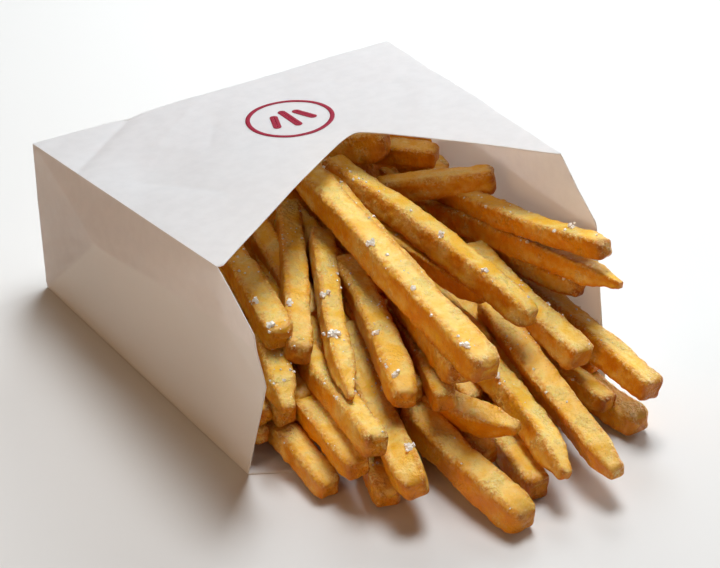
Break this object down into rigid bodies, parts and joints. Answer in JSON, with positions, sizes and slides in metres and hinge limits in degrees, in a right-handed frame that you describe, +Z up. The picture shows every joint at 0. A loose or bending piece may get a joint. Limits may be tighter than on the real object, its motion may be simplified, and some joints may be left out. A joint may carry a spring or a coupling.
{
  "type": "french fries in a paper bag",
  "caption": "White gusseted paper bag lying on its wide back panel, with a V-notched open mouth from which a heap of salted golden french fries fans out.",
  "frame": {"origin": "on the table, under the middle of the bag's back panel, 52 mm in front of its closed base", "axes": "+Z up, away from the table; +X across the bag to the right as seen from the mouth's side; -Y out of the bag's mouth, so +Y points at the closed base"},
  "size_m": [0.1152, 0.1625, 0.0605],
  "materials": {
    "paper": "thin uncoated white paper with soft folds",
    "print": "flat crimson ink",
    "fried_potato": "golden fried crust, slightly oily",
    "salt": "coarse white grains"
  },
  "bodies": {
    "root": {"bag": "paper", "fries": "fried_potato"}
  },
  "joints": []
}
